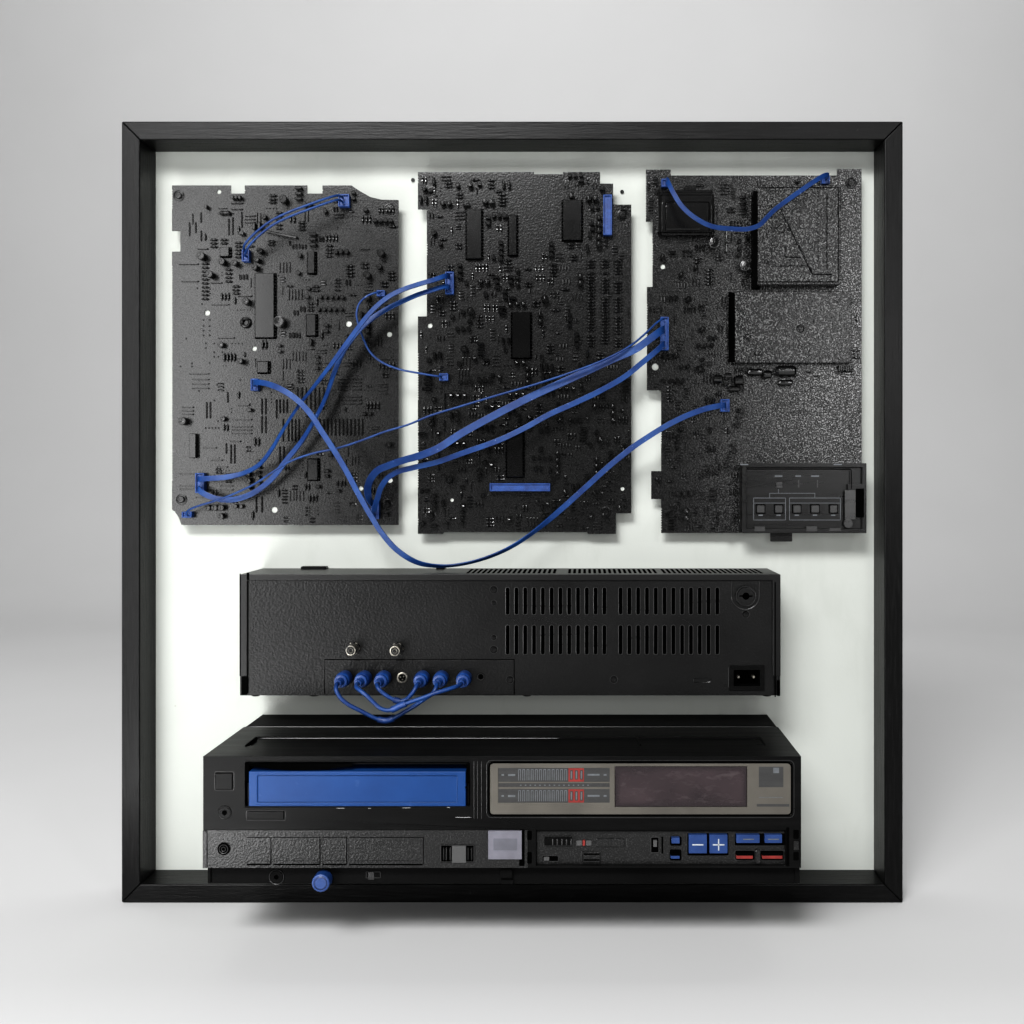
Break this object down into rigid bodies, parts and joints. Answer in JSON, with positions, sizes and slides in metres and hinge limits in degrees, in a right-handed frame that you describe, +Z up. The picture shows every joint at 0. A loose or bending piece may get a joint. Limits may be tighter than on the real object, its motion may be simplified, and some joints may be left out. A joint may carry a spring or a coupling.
{
  "type": "wall-framed dismantled cassette recorder",
  "caption": "Square wall frame holding a home tape recorder taken apart: front unit with cassette, rear unit, circuit boards and leads.",
  "frame": {"origin": "centre of the backboard's back face, which lies on the wall", "axes": "+Z up the wall, +X to the right seen from the front, front faces -Y"},
  "size_m": [0.64, 0.146, 0.64],
  "materials": {
    "frame_black": "brushed black paint on wood, satin",
    "board_white": "white painted board, satin",
    "circuit_black": "sprayed black, semi-gloss, grainy",
    "can_black": "sprayed black steel, semi-gloss",
    "satin_black": "satin",
    "case_black": "sprayed black steel, semi-gloss",
    "bezel_black": "satin moulded plastic",
    "hammered_black": "fine hammered texture",
    "surround_grey": "satin grey",
    "display_glass": "dark smoked window, scuffed",
    "blue_shell": "blue satin paint",
    "button_grey": "satin grey",
    "blue_button": "blue satin paint",
    "button_red": "red satin",
    "blue_plug": "blue satin paint",
    "blue_ribbon": "blue paint on flexible insulation"
  },
  "bodies": {
    "display": {"frame_rail_top": "frame_black", "frame_rail_bottom": "frame_black", "frame_rail_right": "frame_black", "frame_rail_left": "frame_black", "backboard": "board_white", "board_left": "circuit_black", "board_middle": "circuit_black", "board_right": "circuit_black", "tuner_can": "can_black", "shield_can": "can_black", "preset_housing": "satin_black", "rear_cover": "case_black", "rear_panel": "case_black", "jack_plate": "case_black", "mains_inlet": "satin_black", "front_bezel": "bezel_black", "function_panel": "hammered_black", "front_cover": "case_black", "bottom_pan": "case_black", "display_surround": "surround_grey", "display_glass": "display_glass", "cassette_tray": "satin_black", "patch_plug_1": "blue_plug", "patch_plug_2": "blue_plug", "patch_plug_3": "blue_plug", "patch_plug_4": "blue_plug", "patch_plug_5": "blue_plug", "patch_plug_6": "blue_plug", "ribbon_left_jumper": "blue_ribbon", "wire_left_to_middle": "blue_ribbon", "ribbon_upper_middle": "blue_ribbon", "ribbon_lower_middle": "blue_ribbon", "ribbon_left_to_right": "blue_ribbon", "ribbon_upper_right": "blue_ribbon", "ribbon_lower_right": "blue_ribbon", "wire_left_to_right": "blue_ribbon", "ribbon_tuner": "blue_ribbon", "patch_lead_1": "blue_ribbon", "patch_lead_2": "blue_ribbon", "patch_lead_3": "blue_ribbon"},
    "power_button": {"power_button": "bezel_black"},
    "eject_button": {"eject_button": "bezel_black"},
    "rewind_key": {"rewind_key": "bezel_black"},
    "play_key": {"play_key": "bezel_black"},
    "forward_key": {"forward_key": "bezel_black"},
    "stop_key": {"stop_key": "bezel_black"},
    "pause_button": {"pause_button": "button_grey"},
    "channel_down_button": {"channel_down_button": "blue_button"},
    "channel_up_button": {"channel_up_button": "blue_button"},
    "next_button": {"next_button": "blue_button"},
    "check_button": {"check_button": "blue_button"},
    "clock_button": {"clock_button": "blue_button"},
    "reset_button": {"reset_button": "blue_button"},
    "record_button": {"record_button": "button_red"},
    "timer_button": {"timer_button": "button_red"},
    "cassette": {"cassette": "blue_shell"},
    "slot_flap": {"slot_flap": "satin_black"},
    "window_slide": {"window_slide": "bezel_black"},
    "ribbed_slide": {"ribbed_slide": "bezel_black"},
    "input_dial": {"input_dial": "blue_button"}
  },
  "joints": [
    {"name": "cassette_slide", "type": "slide", "parent": "display", "child": "cassette", "axis": [0, -1, 0], "range_m": [0, 0.06]},
    {"name": "flap_hinge", "type": "hinge", "parent": "display", "child": "slot_flap", "pos_m": [-0.10406, -0.138, -0.1785], "axis": [1, 0, 0], "range_deg": [0, 7]},
    {"name": "power_press", "type": "slide", "parent": "display", "child": "power_button", "axis": [0, 1, 0], "range_m": [0, 0.0015], "stiffness_N_per_m": 250},
    {"name": "eject_press", "type": "slide", "parent": "display", "child": "eject_button", "axis": [0, 1, 0], "range_m": [0, 0.0015], "stiffness_N_per_m": 250},
    {"name": "rewind_press", "type": "slide", "parent": "display", "child": "rewind_key", "axis": [0, 1, 0], "range_m": [0, 0.0015], "stiffness_N_per_m": 250},
    {"name": "play_press", "type": "slide", "parent": "display", "child": "play_key", "axis": [0, 1, 0], "range_m": [0, 0.0015], "stiffness_N_per_m": 250},
    {"name": "forward_press", "type": "slide", "parent": "display", "child": "forward_key", "axis": [0, 1, 0], "range_m": [0, 0.0015], "stiffness_N_per_m": 250},
    {"name": "stop_press", "type": "slide", "parent": "display", "child": "stop_key", "axis": [0, 1, 0], "range_m": [0, 0.0015], "stiffness_N_per_m": 250},
    {"name": "pause_press", "type": "slide", "parent": "display", "child": "pause_button", "axis": [0, 1, 0], "range_m": [0, 0.0015], "stiffness_N_per_m": 250},
    {"name": "channel_down_press", "type": "slide", "parent": "display", "child": "channel_down_button", "axis": [0, 1, 0], "range_m": [0, 0.0015], "stiffness_N_per_m": 250},
    {"name": "channel_up_press", "type": "slide", "parent": "display", "child": "channel_up_button", "axis": [0, 1, 0], "range_m": [0, 0.0015], "stiffness_N_per_m": 250},
    {"name": "next_press", "type": "slide", "parent": "display", "child": "next_button", "axis": [0, 1, 0], "range_m": [0, 0.0015], "stiffness_N_per_m": 250},
    {"name": "check_press", "type": "slide", "parent": "display", "child": "check_button", "axis": [0, 1, 0], "range_m": [0, 0.0015], "stiffness_N_per_m": 250},
    {"name": "clock_press", "type": "slide", "parent": "display", "child": "clock_button", "axis": [0, 1, 0], "range_m": [0, 0.0015], "stiffness_N_per_m": 250},
    {"name": "reset_press", "type": "slide", "parent": "display", "child": "reset_button", "axis": [0, 1, 0], "range_m": [0, 0.0015], "stiffness_N_per_m": 250},
    {"name": "record_press", "type": "slide", "parent": "display", "child": "record_button", "axis": [0, 1, 0], "range_m": [0, 0.0015], "stiffness_N_per_m": 250},
    {"name": "timer_press", "type": "slide", "parent": "display", "child": "timer_button", "axis": [0, 1, 0], "range_m": [0, 0.0015], "stiffness_N_per_m": 250},
    {"name": "window_slide_move", "type": "slide", "parent": "display", "child": "window_slide", "axis": [1, 0, 0], "range_m": [-0.0077, 0.005]},
    {"name": "ribbed_slide_move", "type": "slide", "parent": "display", "child": "ribbed_slide", "axis": [1, 0, 0], "range_m": [-0.004, 0]},
    {"name": "input_dial_turn", "type": "hinge", "parent": "display", "child": "input_dial", "pos_m": [-0.12986, -0.14, -0.26271], "axis": [0, 1, 0], "range_deg": [-150, 150]}
  ]
}
